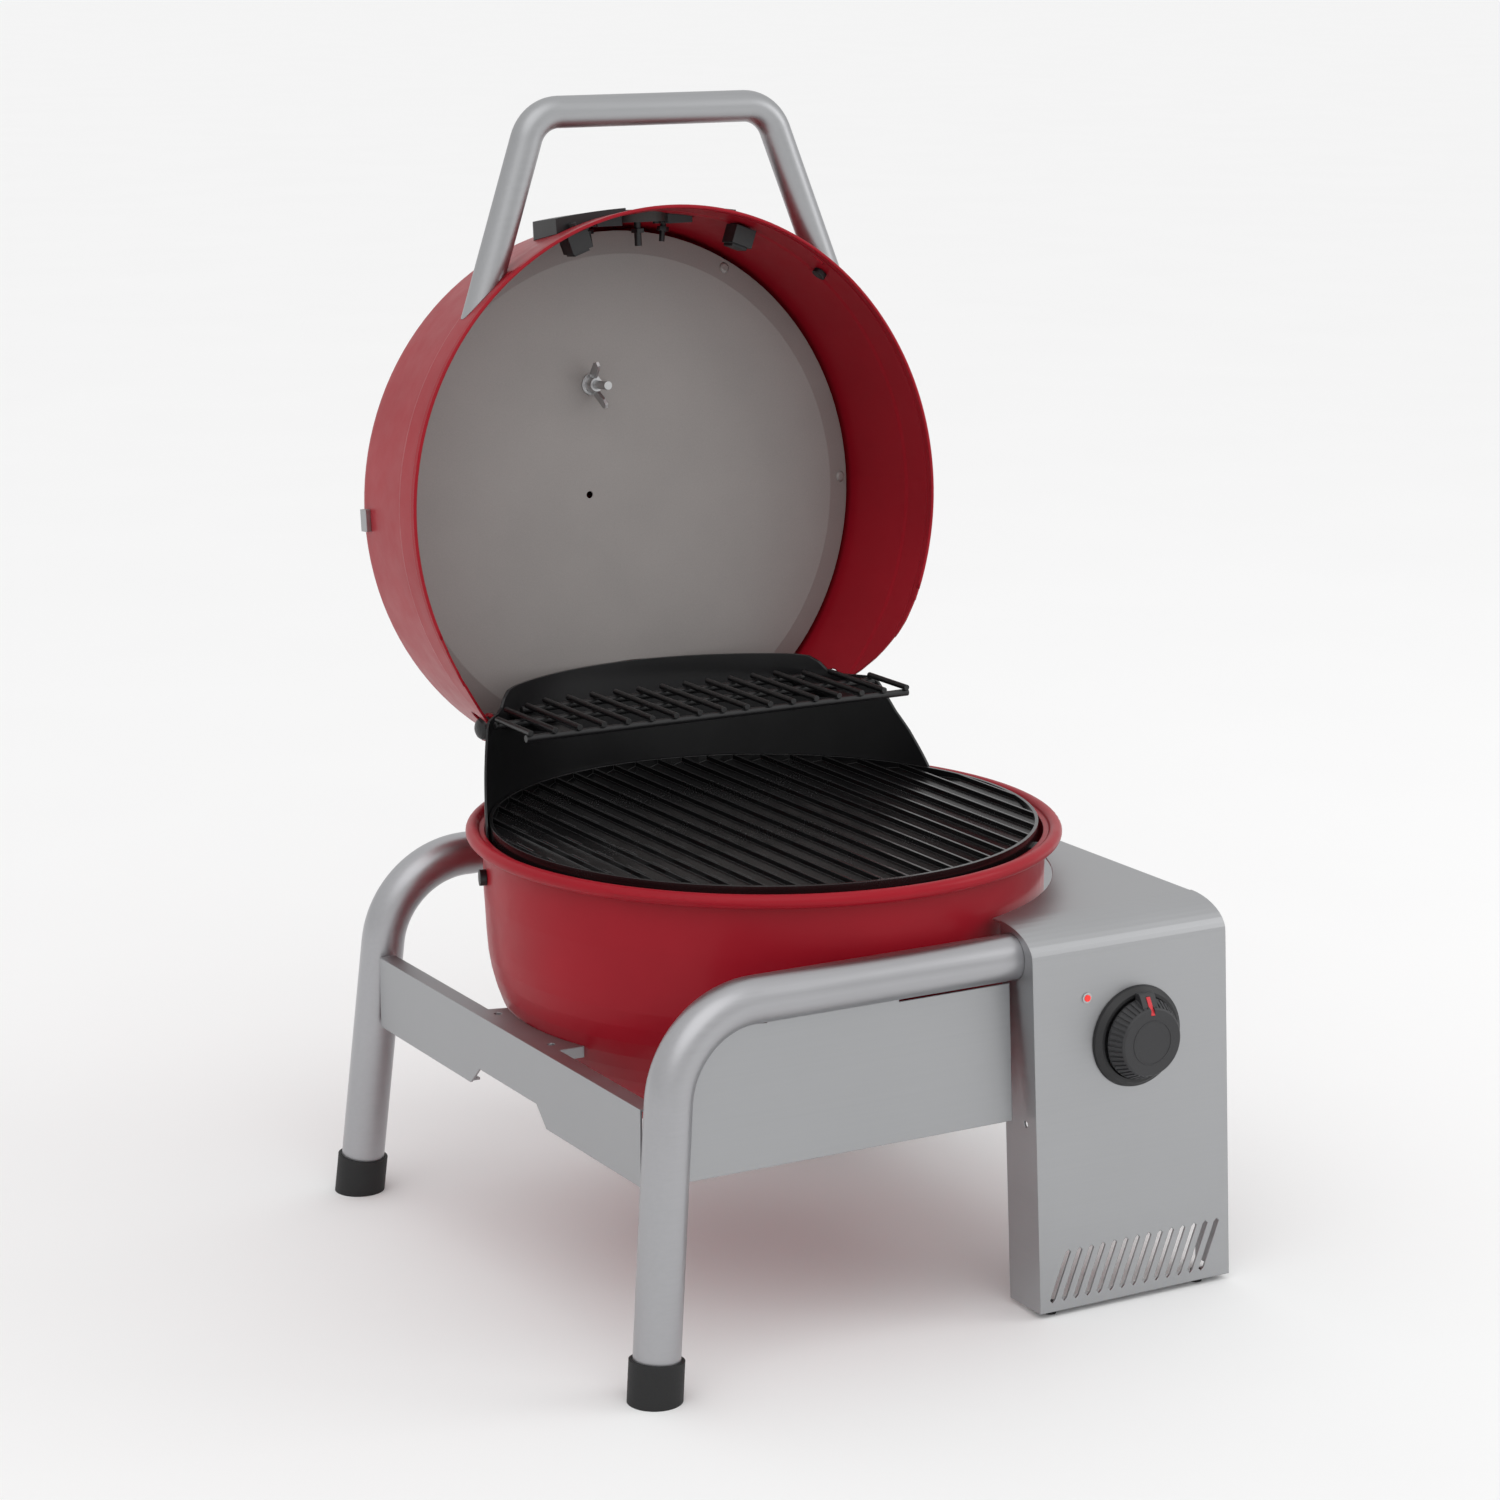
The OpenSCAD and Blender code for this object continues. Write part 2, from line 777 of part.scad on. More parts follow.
module lid_shell() color("#9a1622")
  lid_place()
    difference() {
      lid_solid(0);
      lid_solid(lid_t);
      // rear cut-back that lets the lid swing past the bowl and the shield
      along_x(-220, 220)
        polygon([[-80, -6], [-84, 0.5], [-98, 2], [-106, 4.5], [-112, 7], [-118, 10], [-124.4, 14],
          [-130, 19], [-133, 21.5], [-136, 25], [-140, 29], [-148, 40], [-160, 56], [-170, 68],
          [-180, 80], [-187.5, 92], [-189.3, 112], [-230, 112], [-230, -6]]);
      // clearance round the hinge
      translate([-200, -hinge_y, hinge_z - lid_z0])
        rod_x(0, 400, 25, 48);
      // vent window, stud and screw holes
      translate([-38, 180, 36])
        cube([76, 30, 28]);
      translate([-22, 80, lid_depth - 20])
        cylinder(h = 40, d = 6.2, $fn = 32);
      for (s = [-1, 1])
        rotate([0, 0, 90 + s * 40.4])
          translate([0, 0, 22])
            rod_x(180, 210, 5.2, 32);
      for (a = clip_a)
        rotate([0, 0, a])
          translate([0, pin_t(a), 31])
            rod_x(180, 210, 5.2, 32);
      for (a = screw_a)
        rotate([0, 0, a])
          translate([0, 0, 68])
            rod_x(180, 210, 4.2, 32);
      translate([0, 0, 50])
        rod_y(180, 210, 43, 64);
      // drain slots near the rim
      for (a = [53, 127])
        rotate([0, 0, a])
          translate([190, -5, 8.8])
            cube([20, 10, 2.4]);
    }

module lid_ears() color("#9a1622")
  lid_place()
    for (s = [-1, 1])
      difference() {
        along_x(s * ear_x - 1, s * ear_x + 1)
          union() {
            polygon([[-hinge_y - 10, 48], [-hinge_y + 8, 48], [-hinge_y + 8, 84],
              [-hinge_y - 6, 84], [-hinge_y - 10, 76]]);
            translate([-hinge_y, hinge_z - lid_z0])
              circle(r = 10, $fn = 48);
            translate([-hinge_y - 19, hinge_z - lid_z0 - 5])
              square([19, 10]);
          }
        translate([s * ear_x, -hinge_y, hinge_z - lid_z0])
          rod_x(-4, 4, pin_d + 0.1, 40);
        // trimmed to the lid's inner face
        difference() {
          translate([0, 0, 60.6])
            cylinder(h = 100, r = 260, $fn = 90);
          lid_solid(lid_t);
        }
      }

module lid_liner() color("#8b8783")
  lid_place()
    difference() {
      rotate_extrude($fn = 150)
        polygon([[0, liner_z], [169.5, liner_z], [185.5, liner_z + 4], [185.5, liner_z + 8],
          [184.3, liner_z + 8], [184.3, liner_z + 5], [169.3, liner_z + 1.2], [0, liner_z + 1.2]]);
      translate([-22, 80, 80])
        cylinder(h = 20, d = 6.2, $fn = 32);
      translate([-27, 3, 80])
        cylinder(h = 20, d = 5, $fn = 32);
      along_x(-220, 220)
        polygon([[-171, 80], [-171, 100], [-200, 100], [-200, 80]]);
      // relief for the shield
      translate([0, 0, 80])
        linear_extrude(20)
          polygon(concat([for (i = [-11:11]) [i * 6, relief_w(i * 6)]], [[66, -200], [-66, -200]]));
      for (i = [0:5])
        rotate([0, 0, i * 60])
          translate([179.5, 0, liner_z + 2.5])
            rotate([0, -14.04, 0])
              translate([0, 0, -5])
                cylinder(h = 10, d = 4.1, $fn = 32);
    }

// rivets round the liner's sloping edge
module liner_rivets() color("#7b7875")
  lid_place()
    for (i = [0:5])
      rotate([0, 0, i * 60])
        translate([179.5, 0, liner_z + 2.5])
          rotate([0, -14.04, 0]) {
            translate([0, 0, -1.1])
              cylinder(h = 1.05, d1 = 4.6, d2 = 8, $fn = 32);
            translate([0, 0, -0.2])
              cylinder(h = 2.4, d = 4, $fn = 32);
            translate([0, 0, 1.35])
              cylinder(h = 1, d = 7, $fn = 32);
          }

module liner_stud() color("#9b9da0")
  lid_place()
    translate([-22, 80, 0]) {
      translate([0, 0, 62])
        cylinder(h = 60, d = 6, $fn = 32);
      translate([0, 0, lid_depth])
        cylinder(h = 3, d1 = 13, d2 = 9, $fn = 40);
      translate([0, 0, liner_z + 1.2])
        difference() {
          cylinder(h = lid_depth - lid_t - liner_z - 1.2, d = 12, $fn = 40);
          translate([0, 0, -1])
            cylinder(h = 60, d = 5.9, $fn = 32);
        }
    }

module liner_wing_nut() color("#77797c")
  lid_place()
    translate([-22, 80, liner_z - 86])
      rotate([0, 0, 100])
        difference() {
          union() {
            translate([0, 0, 84.6])
              cylinder(h = 1.4, d = 15, $fn = 40);
            translate([0, 0, 77])
              cylinder(h = 7.6, d1 = 9.5, d2 = 11.5, $fn = 40);
            for (s = [0, 180])
              rotate([0, 0, s])
                translate([0, 1.1, 0])
                  rotate([90, 0, 0])
                    linear_extrude(2.2)
                      polygon([[3.6, 83.5], [8, 82.5], [16, 73.5], [16.5, 69.5], [13.5, 68],
                        [10, 70.5], [4.2, 77.5]]);
          }
          translate([0, 0, 60])
            cylinder(h = 40, d = 6.12, $fn = 32);
        }

// one leg of the handle, from the lid's wall up to the bend
module handle_leg(ro, ri, w0, s) {
  leg = (handle_reach - w0) / cos(hang);
  translate([s * hw_x, handle_reach, 22])
    rotate([0, 0, s * hang])
      translate([0, -leg, 0])
        rotate([-90, 0, 0])
          difference() {
            cylinder(h = leg - hcut + 0.5, r = ro + 0.02, $fn = 40);
            if (ri > 0)
              translate([0, 0, -1])
                cylinder(h = leg + 2, r = ri - 0.02, $fn = 40);
          }
}

module lid_handle() color("#b4b6b9")
  lid_place()
    difference() {
      union() {
        for (s = [-1, 1])
          handle_leg(handle_d / 2, handle_d / 2 - 1.5, 130, s);
        // bends
        for (s = [-1, 1])
          translate([s * (hw_x - hcut), handle_reach - hb, 22])
            rotate([0, 0, s > 0 ? hang : 90])
              rotate_extrude(angle = 90 - hang, $fn = 96)
                translate([hb, 0])
                  difference() {
                    circle(d = handle_d, $fn = 40);
                    circle(d = handle_d - 3, $fn = 40);
                  }
        // bar
        translate([0, handle_reach, 22])
          difference() {
            rod_x(-hw_x + hcut - 0.5, hw_x - hcut + 0.5, handle_d + 0.04, 40);
            rod_x(-150, 150, handle_d - 3.04, 40);
          }
      }
      lid_solid(0);
      translate([0, 0, -20])
        cylinder(h = 20, r = lid_r0, $fn = 180);
    }

module handle_plugs() color("#5a5c5f")
  lid_place()
    difference() {
      intersection() {
        for (s = [-1, 1])
          handle_leg(handle_d / 2 - 1.6, 0, 130, s);
        translate([0, 0, 0])
          cylinder(h = 60, r = 222, $fn = 120);
      }
      lid_solid(0);
      for (s = [-1, 1])
        rotate([0, 0, 90 + s * 40.4])
          translate([0, 0, 22])
            rod_x(180, 206, 5.04, 32);
    }

module handle_screws() color("#77797c")
  lid_place()
    for (s = [-1, 1])
      rotate([0, 0, 90 + s * 40.4])
        translate([0, 0, 22]) {
          rod_x(196, 205, 5, 32);
          rod_x(195.1, 198.3, 10, 40);
        }

module vent_bezel() color("#1d1d1f")
  lid_place()
    difference() {
      union() {
        // crowned block that stands on the curved wall
        difference() {
          intersection() {
            along_y(160, 210)
              polygon(concat(arc(65, 69.5, 5, 0, 90, 6), arc(-65, 69.5, 5, 90, 180, 6),
                arc(-65, 31, 5, 180, 270, 6), arc(65, 31, 5, 270, 360, 6)));
            translate([0, bezel_w(26) - bezel_crown, 26])
              rotate([atan(3 / 48.5), 0, 0])
                translate([0, 0, -20])
                  cylinder(h = 90, r = bezel_crown, $fn = 720);
          }
          lid_solid(-0.05);
          // air way behind the face
          translate([-37, 160, 38])
            cube([74, 35.5, 24.5]);
        }
        // louvres in the window
        for (i = [0:4])
          translate([-37, 189.5, 38.5 + i * 5.2])
            cube([74, 7, 1.6]);
      }
      // sockets for the clips and the screws
      for (a = clip_a)
        rotate([0, 0, a])
          translate([0, pin_t(a), 31])
            rod_x(185, 202.5, 5.1, 32);
      for (a = screw_a)
        rotate([0, 0, a])
          translate([0, 0, 68])
            rod_x(185, 199.1, 4.1, 32);
      // gauge seat
      translate([0, 0, 50]) {
        rod_y(185, 210, 42.1, 64);
        rod_y(198, 210, 43.2, 64);
      }
      // vents each side of the gauge
      for (x = [-35, -31, -27, 27, 31, 35])
        translate([x - 1, 180, 40])
          cube([2, 30, 20]);
    }

module vent_clips() color("#141415")
  lid_place()
    for (a = clip_a)
      rotate([0, 0, a])
        translate([0, 0, 31]) {
          translate([0, pin_t(a), 0])
            rod_x(192, 202.4, 5, 32);
          translate([184, -8, -12])
            cube([12.9, 16, 15]);
          translate([182, -6, -9])
            cube([3, 12, 12]);
        }

module bezel_screws() color("#1d1d1f")
  lid_place()
    for (a = screw_a)
      rotate([0, 0, a])
        translate([0, 0, 68]) {
          rod_x(179, 199, 4, 32);
          rod_x(186.4, 189.4, 8.4, 6);
        }

module thermometer_body() color("#9b9da0")
  lid_place()
    translate([0, 0, 50])
      difference() {
        union() {
          rod_y(191.5, 198.1, 42, 64);
          rod_y(198, 199.6, 42.8, 64);
        }
        rod_y(194.5, 220, 39, 64);
        rod_y(190, 220, 5.04, 32);
      }

module thermometer_dial() color("#e9e7e0")
  lid_place()
    translate([0, 194.5, 50])
      difference() {
        rod_y(0, 0.8, 39, 64);
        rod_y(-1, 3, 3.1, 32);
      }

module thermometer_needle() color("#c4281f")
  lid_place()
    translate([0, 195.9, 50]) {
      rod_y(0, 0.9, 5, 32);
      rod_y(-1.2, 0.1, 3, 32);
      rotate([0, 225, 0])
        translate([-0.8, 0, -4])
          cube([1.6, 0.7, 19.5]);
    }

module thermometer_glass() color("#dfe6ea", 0.35)
  lid_place()
    translate([0, 198.1, 50])
      rod_y(0, 1.2, 38.9, 64);

module thermometer_stem() color("#1d1d1f")
  lid_place()
    translate([0, 0, 50]) {
      rod_y(175, 193.4, 5, 32);
      rod_y(184, 187, 10, 6);
    }

module lid_clip() color("#c4c6c9")
  lid_place()
    rotate([0, 0, 180.6])
      difference() {
        translate([lid_r(96) - 4, -7.5, 94])
          cube([7, 15, 9]);
        lid_solid(0);
      }

module at() {
  translate([off_x, off_y, 0])
    children();
}

at() front_frame_tube();
at() rear_frame_tube();
at() foot_caps();
at() front_panel();
at() left_rail();
at() right_rail();
at() housing_shell();
at() housing_feet();
at() bowl();
at() bowl_mount_bolts();
at() shield_bolts();
at() grate_rests();
at() reflector_pan();
at() heating_element();
at() element_flange();
at() terminal_cover();
at() thermostat_body();
at() terminal_block();
at() indicator_lamp();
at() lamp_ring();
at() power_inlet();
at() inlet_screws();
at() knob_bezel();
at() control_knob();
at() knob_pointer();
at() knob_shaft();
at() cooking_grate();
at() rear_shield();
at() hinge_brackets();
at() hinge_bolts();
at() hinge_nuts();
at() rack_brackets();
at() warming_rack();
at() lid_shell();
at() lid_ears();
at() lid_liner();
at() liner_rivets();
at() liner_stud();
at() liner_wing_nut();
at() lid_handle();
at() handle_plugs();
at() handle_screws();
at() vent_bezel();
at() vent_clips();
at() bezel_screws();
at() thermometer_body();
at() thermometer_dial();
at() thermometer_needle();
at() thermometer_glass();
at() thermometer_stem();
at() lid_clip();
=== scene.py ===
"""Looks for the tabletop grill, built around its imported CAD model. Metres, Z up, front at -Y."""

import json
import math

import bmesh
import bpy
from mathutils import Matrix, Vector


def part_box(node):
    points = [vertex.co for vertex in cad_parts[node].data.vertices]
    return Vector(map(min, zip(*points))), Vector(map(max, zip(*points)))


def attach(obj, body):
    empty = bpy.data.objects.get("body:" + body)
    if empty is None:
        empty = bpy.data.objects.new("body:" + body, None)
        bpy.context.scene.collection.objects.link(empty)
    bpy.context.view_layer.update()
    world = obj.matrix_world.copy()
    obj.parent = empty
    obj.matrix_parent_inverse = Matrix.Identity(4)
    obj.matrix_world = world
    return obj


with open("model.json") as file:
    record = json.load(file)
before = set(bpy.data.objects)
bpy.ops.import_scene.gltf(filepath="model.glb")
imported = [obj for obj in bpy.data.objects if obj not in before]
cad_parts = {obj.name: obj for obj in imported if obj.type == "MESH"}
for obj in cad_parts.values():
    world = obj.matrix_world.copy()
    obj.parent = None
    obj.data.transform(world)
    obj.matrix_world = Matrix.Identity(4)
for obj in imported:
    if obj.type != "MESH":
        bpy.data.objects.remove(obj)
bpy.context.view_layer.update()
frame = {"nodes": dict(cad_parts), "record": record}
MM = 0.001


def mid(node):
    lo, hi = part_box(node)
    return (Vector(lo) + Vector(hi)) / 2


# ---------- materials ----------

class Nodes:
    """A small helper that adds and links shader nodes."""

    def __init__(self, name):
        self.mat = bpy.data.materials.new(name)
        self.mat.use_nodes = True
        self.tree = self.mat.node_tree
        self.tree.nodes.clear()
        self.out = self.add("ShaderNodeOutputMaterial")
        self.bsdf = self.add("ShaderNodeBsdfPrincipled")
        self.link(self.bsdf.outputs[0], self.out.inputs["Surface"])
        self.coord = self.add("ShaderNodeTexCoord").outputs["Object"]

    def add(self, kind, **values):
        node = self.tree.nodes.new(kind)
        for key, value in values.items():
            setattr(node, key, value)
        return node

    def link(self, a, b):
        self.tree.links.new(a, b)

    def fix(self, **values):
        for key, value in values.items():
            self.bsdf.inputs[key.replace("_", " ")].default_value = value

    def place(self, scale):
        m = self.add("ShaderNodeMapping")
        m.inputs["Scale"].default_value = scale
        self.link(self.coord, m.inputs["Vector"])
        return m.outputs[0]

    def noise(self, scale, detail=4, rough=0.55, vector=None, distort=0.0):
        n = self.add("ShaderNodeTexNoise")
        n.inputs["Scale"].default_value = scale
        n.inputs["Detail"].default_value = detail
        n.inputs["Roughness"].default_value = rough
        n.inputs["Distortion"].default_value = distort
        self.link(vector or self.coord, n.inputs["Vector"])
        return n.outputs["Fac"]

    def cells(self, scale, vector=None):
        n = self.add("ShaderNodeTexVoronoi")
        n.inputs["Scale"].default_value = scale
        self.link(vector or self.coord, n.inputs["Vector"])
        return n.outputs["Distance"]

    def span(self, fac, lo, hi, a=0.0, b=1.0):
        n = self.add("ShaderNodeMapRange")
        n.inputs["From Min"].default_value = lo
        n.inputs["From Max"].default_value = hi
        n.inputs["To Min"].default_value = a
        n.inputs["To Max"].default_value = b
        self.link(fac, n.inputs["Value"])
        return n.outputs[0]

    def mix(self, fac, a, b):
        n = self.add("ShaderNodeMix", data_type="RGBA")
        self.link(fac, n.inputs["Factor"])
        for value, socket in ((a, n.inputs["A"]), (b, n.inputs["B"])):
            if hasattr(value, "is_output"):
                self.link(value, socket)
            else:
                socket.default_value = (*value, 1)
        return n.outputs["Result"]

    def math(self, op, a, b):
        n = self.add("ShaderNodeMath", operation=op)
        for value, socket in ((a, n.inputs[0]), (b, n.inputs[1])):
            if hasattr(value, "is_output"):
                self.link(value, socket)
            else:
                socket.default_value = value
        return n.outputs[0]

    def edge(self, radius):
        """1 on sharp edges, 0 elsewhere: where finishes wear, and where satin coats get a painted highlight.
        """
        bevel = self.add("ShaderNodeBevel", samples=6)
        bevel.inputs["Radius"].default_value = radius
        geo = self.add("ShaderNodeNewGeometry")
        dot = self.add("ShaderNodeVectorMath", operation="DOT_PRODUCT")
        self.link(bevel.outputs[0], dot.inputs[0])
        self.link(geo.outputs["Normal"], dot.inputs[1])
        return self.span(dot.outputs["Value"], 0.995, 0.86)

    def bump(self, layers, radius=0.0006):
        """layers: (height socket, depth in metres); the edges are rounded by radius."""
        last = None
        if radius:
            bevel = self.add("ShaderNodeBevel", samples=6)
            bevel.inputs["Radius"].default_value = radius
            last = bevel.outputs[0]
        for height, depth in layers:
            b = self.add("ShaderNodeBump")
            b.inputs["Strength"].default_value = 1
            b.inputs["Distance"].default_value = depth
            self.link(height, b.inputs["Height"])
            if last:
                self.link(last, b.inputs["Normal"])
            last = b.outputs[0]
        if last:
            self.link(last, self.bsdf.inputs["Normal"])

    def colour(self, socket):
        self.link(socket, self.bsdf.inputs["Base Color"])

    def rough(self, socket):
        self.link(socket, self.bsdf.inputs["Roughness"])


def steel(name, base, rough, grain, radius=0.0008, depth=0.000006):
    """Brushed stainless steel; grain is the noise stretch on each axis."""
    m = Nodes(name)
    line = m.noise(1, 3, 0.6, m.place(grain))
    cloud = m.noise(9, 3, 0.5)
    m.colour(m.mix(m.span(m.math("ADD", line, cloud), 0.6, 1.4),
                   tuple(c * 0.95 for c in base), tuple(min(1, c * 1.04) for c in base)))
    m.rough(m.span(m.math("ADD", m.math("MULTIPLY", line, 0.6), m.math("MULTIPLY", cloud, 0.4)),
                   0.3, 0.7, rough - 0.05, rough + 0.06))
    m.fix(Metallic=1.0)
    m.bump([(line, depth)], radius)
    return m.mat


def enamel(name, base, deep, rough, coat):
    """Vitreous enamel: a wavy glass coat over colour that thins at the edges."""
    m = Nodes(name)
    cloud = m.noise(14, 3, 0.5)
    edge_tone = m.edge(0.0014)
    m.colour(m.mix(m.math("MULTIPLY", edge_tone, 0.35), m.mix(m.span(cloud, 0.35, 0.65), deep, base),
                   tuple(c * 0.45 for c in base)))
    m.rough(m.span(m.noise(60, 4, 0.6), 0.3, 0.7, rough - 0.03, rough + 0.05))
    m.fix(Coat_Weight=coat, Coat_Roughness=0.14, IOR=1.45, Specular_IOR_Level=0.15)
    m.bump([(m.noise(150, 2, 0.5), 0.00002), (m.noise(900, 2, 0.5), 0.000003)], 0.0012)
    return m.mat


def satin(name, base, rough, grain, depth, metal=0.0, radius=0.0006, wear_and_highlight=0.25, spread=0.2, edge_tone=0.012):
    """Sprayed or fired satin coat: a speckle of that spread, and sharp edges lighter by the last argument:
    partly wear, partly a painted highlight that picks out ridges.
    """
    m = Nodes(name)
    fine = m.noise(grain, 3, 0.6)
    cloud = m.noise(16, 4, 0.55)
    tint = m.mix(m.span(m.math("ADD", fine, cloud), 0.7, 1.3),
                 tuple(c * (1 - spread) for c in base), tuple(min(1, c * (1 + spread)) for c in base))
    # sharp edges painted lighter: partly wear, partly a painted highlight along ridges
    worn_and_highlit_edge = tuple(min(1, c * 2.1 + edge_tone) for c in base)
    m.colour(m.mix(m.math("MULTIPLY", m.edge(0.0008), wear_and_highlight), tint, worn_and_highlit_edge))
    m.rough(m.span(m.math("ADD", fine, cloud), 0.7, 1.3, rough - 0.06, rough + 0.07))
    m.fix(Metallic=metal)
    m.bump([(fine, depth)], radius)
    return m.mat


def plastic(name, base, rough, grain, depth, radius=0.0007):
    """Moulded plastic with a spark-eroded grain."""
    m = Nodes(name)
    cell = m.cells(grain)
    cloud = m.noise(25, 3, 0.5)
    m.colour(m.mix(m.span(m.math("ADD", cell, cloud), 0.5, 1.3),
                   tuple(c * 0.8 for c in base), tuple(min(1, c * 1.25) for c in base)))
    m.rough(m.span(m.math("ADD", cell, cloud), 0.5, 1.3, rough - 0.06, rough + 0.07))
    m.bump([(cell, depth), (m.noise(grain * 0.5, 3, 0.6), depth * 0.7)], radius)
    return m.mat


MATS = {
    "housing": steel("brushed steel sheet", (0.425, 0.43, 0.44), 0.45, (5, 40, 700), depth=0.0000012),
    "panel": steel("brushed steel panel", (0.41, 0.415, 0.425), 0.45, (5, 40, 700), depth=0.0000012),
    "tube": steel("satin steel tube", (0.43, 0.43, 0.445), 0.36, (6, 400, 400), depth=0.0000012),
    "chrome": steel("satin steel handle", (0.40, 0.405, 0.415), 0.42, (6, 400, 400), depth=0.0000012),
    "zinc": steel("zinc plated steel", (0.52, 0.525, 0.53), 0.34, (500, 500, 500), radius=0.0004),
    "red": enamel("red enamel", (0.335, 0.008, 0.018), (0.305, 0.007, 0.016), 0.36, 0.08),
    "liner": satin("warm grey liner", (0.275, 0.257, 0.248), 0.5, 1200, 0.000005, metal=0.1, radius=0.001,
                   spread=0.07),
    "black": satin("black enamel", (0.008, 0.008, 0.0088), 0.36, 1600, 0.000012),
    # the grate's edges painted much lighter: a painted highlight picking out its ridge lines
    "iron": satin("grate enamel", (0.006, 0.006, 0.0064), 0.22, 900, 0.000003, radius=0.0004,
                  wear_and_highlight=0.8, edge_tone=0.05),
    "pan": satin("aluminised pan", (0.42, 0.42, 0.43), 0.34, 700, 0.00001, metal=0.9),
    "sheath": satin("element sheath", (0.055, 0.052, 0.05), 0.42, 1500, 0.00001, metal=0.7),
    "rubber": plastic("rubber", (0.009, 0.009, 0.0095), 0.66, 1100, 0.00003, radius=0.0012),
    "plastic": plastic("black plastic", (0.011, 0.011, 0.012), 0.44, 1900, 0.00002),
    "knob": plastic("knob plastic", (0.024, 0.024, 0.026), 0.44, 1900, 0.000015),
    "ceramic": plastic("cream insulator", (0.62, 0.57, 0.48), 0.5, 1500, 0.00001),
    # dial print, also used as the painted shade in the screw recesses
    "print_and_recess_shade": satin("dial print", (0.02, 0.02, 0.022), 0.5, 1500, 0.000003),
    "marker": plastic("red marker", (0.55, 0.02, 0.03), 0.35, 1500, 0.000008),
    "dial": satin("dial plate", (0.78, 0.77, 0.73), 0.5, 1500, 0.000004),
}


def lamp_lens():
    m = Nodes("red lamp lens")
    m.colour(m.mix(m.span(m.cells(900), 0, 0.7), (0.75, 0.01, 0.01), (0.95, 0.04, 0.03)))
    m.fix(Roughness=0.15, Emission_Color=(1, 0.03, 0.02, 1), Emission_Strength=0.35)
    m.bump([(m.cells(900), 0.00008)], 0.0004)
    return m.mat


def gauge_glass():
    m = Nodes("gauge glass")
    m.fix(Base_Color=(0.96, 0.98, 0.98, 1), Transmission_Weight=1.0, IOR=1.45)
    m.rough(m.span(m.noise(120, 3, 0.5), 0.3, 0.7, 0.01, 0.05))
    return m.mat


MATS["lamp"] = lamp_lens()
MATS["glass"] = gauge_glass()

USES = {
    "housing": "housing_shell",
    "panel": "front_panel left_rail right_rail",
    "tube": "front_frame_tube rear_frame_tube",
    "chrome": "lid_handle lid_clip terminal_cover",
    "zinc": "bowl_mount_bolts inlet_screws hinge_nuts liner_stud liner_wing_nut handle_plugs "
            "knob_shaft element_flange lamp_ring",
    "red": "bowl lid_shell lid_ears",
    "liner": "lid_liner liner_rivets",
    "black": "rear_shield hinge_brackets rack_brackets warming_rack shield_bolts hinge_bolts "
             "thermometer_stem bezel_screws handle_screws",
    "iron": "cooking_grate grate_rests",
    "pan": "reflector_pan",
    "sheath": "heating_element thermometer_body",
    "rubber": "foot_caps housing_feet",
    "plastic": "knob_bezel vent_bezel vent_clips power_inlet",
    "knob": "control_knob",
    "ceramic": "thermostat_body terminal_block",
    "marker": "knob_pointer thermometer_needle",
    "dial": "thermometer_dial",
    "lamp": "indicator_lamp",
    "glass": "thermometer_glass",
}
for key, names in USES.items():
    for name in names.split():
        slots = frame["nodes"][name].data.materials
        slots.clear()
        slots.append(MATS[key])

# ---------- detail pieces ----------

joints = {j["name"]: j for j in frame["record"]["behaviour"]["joints"]}
ACROSS = Vector((1, 0, 0))
UP = Vector((0, 0, 1))
LID_OUT = Vector(joints["needle_swing"]["axis"])   # from the lid's axis to its front
LID_IN = Vector(joints["wing_nut_spin"]["axis"])   # from the lid's opening to its flat top
hinge = Vector(joints["lid_hinge"]["pos_m"])
HINGE_OUT, HINGE_IN = -146.3 * MM, 48.5 * MM       # the hinge, measured along those two


def on_lid(x, out, depth):
    return hinge + ACROSS * x + LID_OUT * (out - HINGE_OUT) + LID_IN * (depth - HINGE_IN)


def piece(name, bm, body, material, smooth=True):
    bmesh.ops.recalc_face_normals(bm, faces=bm.faces)
    mesh = bpy.data.meshes.new(name)
    bm.to_mesh(mesh)
    bm.free()
    for face in mesh.polygons:
        face.use_smooth = smooth
    o = bpy.data.objects.new(name, mesh)
    bpy.context.collection.objects.link(o)
    mesh.materials.append(MATS[material])
    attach(o, body)


def sweep(bm, points, outward, radius, sides=14, closed=False):
    """A round wire through points; outward gives one direction off the wire at each point."""
    count = len(points)
    rings = []
    for i, point in enumerate(points):
        ahead = points[(i + 1) % count] if closed or i < count - 1 else point
        behind = points[i - 1] if closed or i > 0 else point
        along = (ahead - behind).normalized()
        side = (outward[i] - along * outward[i].dot(along)).normalized()
        up = along.cross(side)
        turns = [math.tau * k / sides for k in range(sides)]
        rings.append([bm.verts.new(point + (side * math.cos(a) + up * math.sin(a)) * radius) for a in turns])
    pairs = list(zip(rings, rings[1:])) + ([(rings[-1], rings[0])] if closed else [])
    for a, b in pairs:
        for k in range(sides):
            bm.faces.new((a[k], a[(k + 1) % sides], b[(k + 1) % sides], b[k]))
    if not closed:
        bm.faces.new(rings[0])
        bm.faces.new(rings[-1])


def slab(bm, outline, centre, u, v, height):
    """A flat plate of that outline, raised by height along u x v."""
    up = u.cross(v).normalized() * height
    low = [bm.verts.new(centre + u * a + v * b) for a, b in outline]
    high = [bm.verts.new(w.co + up) for w in low]
    bm.faces.new(low)
    bm.faces.new(high)
    for k in range(len(low)):
        j = (k + 1) % len(low)
        bm.faces.new((low[k], low[j], high[j], high[k]))


